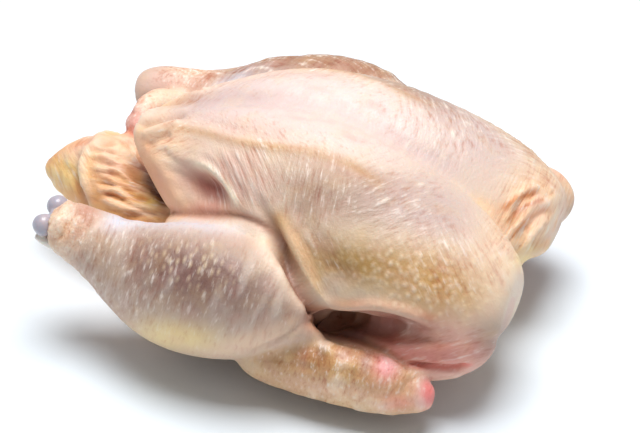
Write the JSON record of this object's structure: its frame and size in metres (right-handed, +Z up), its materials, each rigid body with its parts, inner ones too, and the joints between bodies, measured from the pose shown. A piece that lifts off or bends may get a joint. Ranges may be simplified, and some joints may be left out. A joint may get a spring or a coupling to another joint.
{
  "type": "whole raw chicken",
  "caption": "Whole raw chicken, plucked and drawn, lying breast up with legs drawn back, wings folded against the sides, and knuckled bone ends showing at the hocks.",
  "frame": {"origin": "on the flat of the back that the bird rests on, under the middle of the body", "axes": "+X from the tail to the neck, +Z up through the breast, -Y to the bird's left leg, which is the nearer one in the picture"},
  "size_m": [0.2193, 0.1821, 0.0964],
  "materials": {
    "skin": "moist pale cream skin with yellow fat and mauve-pink flesh showing through, semi-gloss",
    "left_bone": "wet bluish-grey gristle over bone, smooth",
    "right_bone": "wet bluish-grey gristle over bone, smooth"
  },
  "bodies": {
    "root": {"chicken": "skin", "left_shin_bone": "left_bone", "right_shin_bone": "right_bone"}
  },
  "joints": []
}
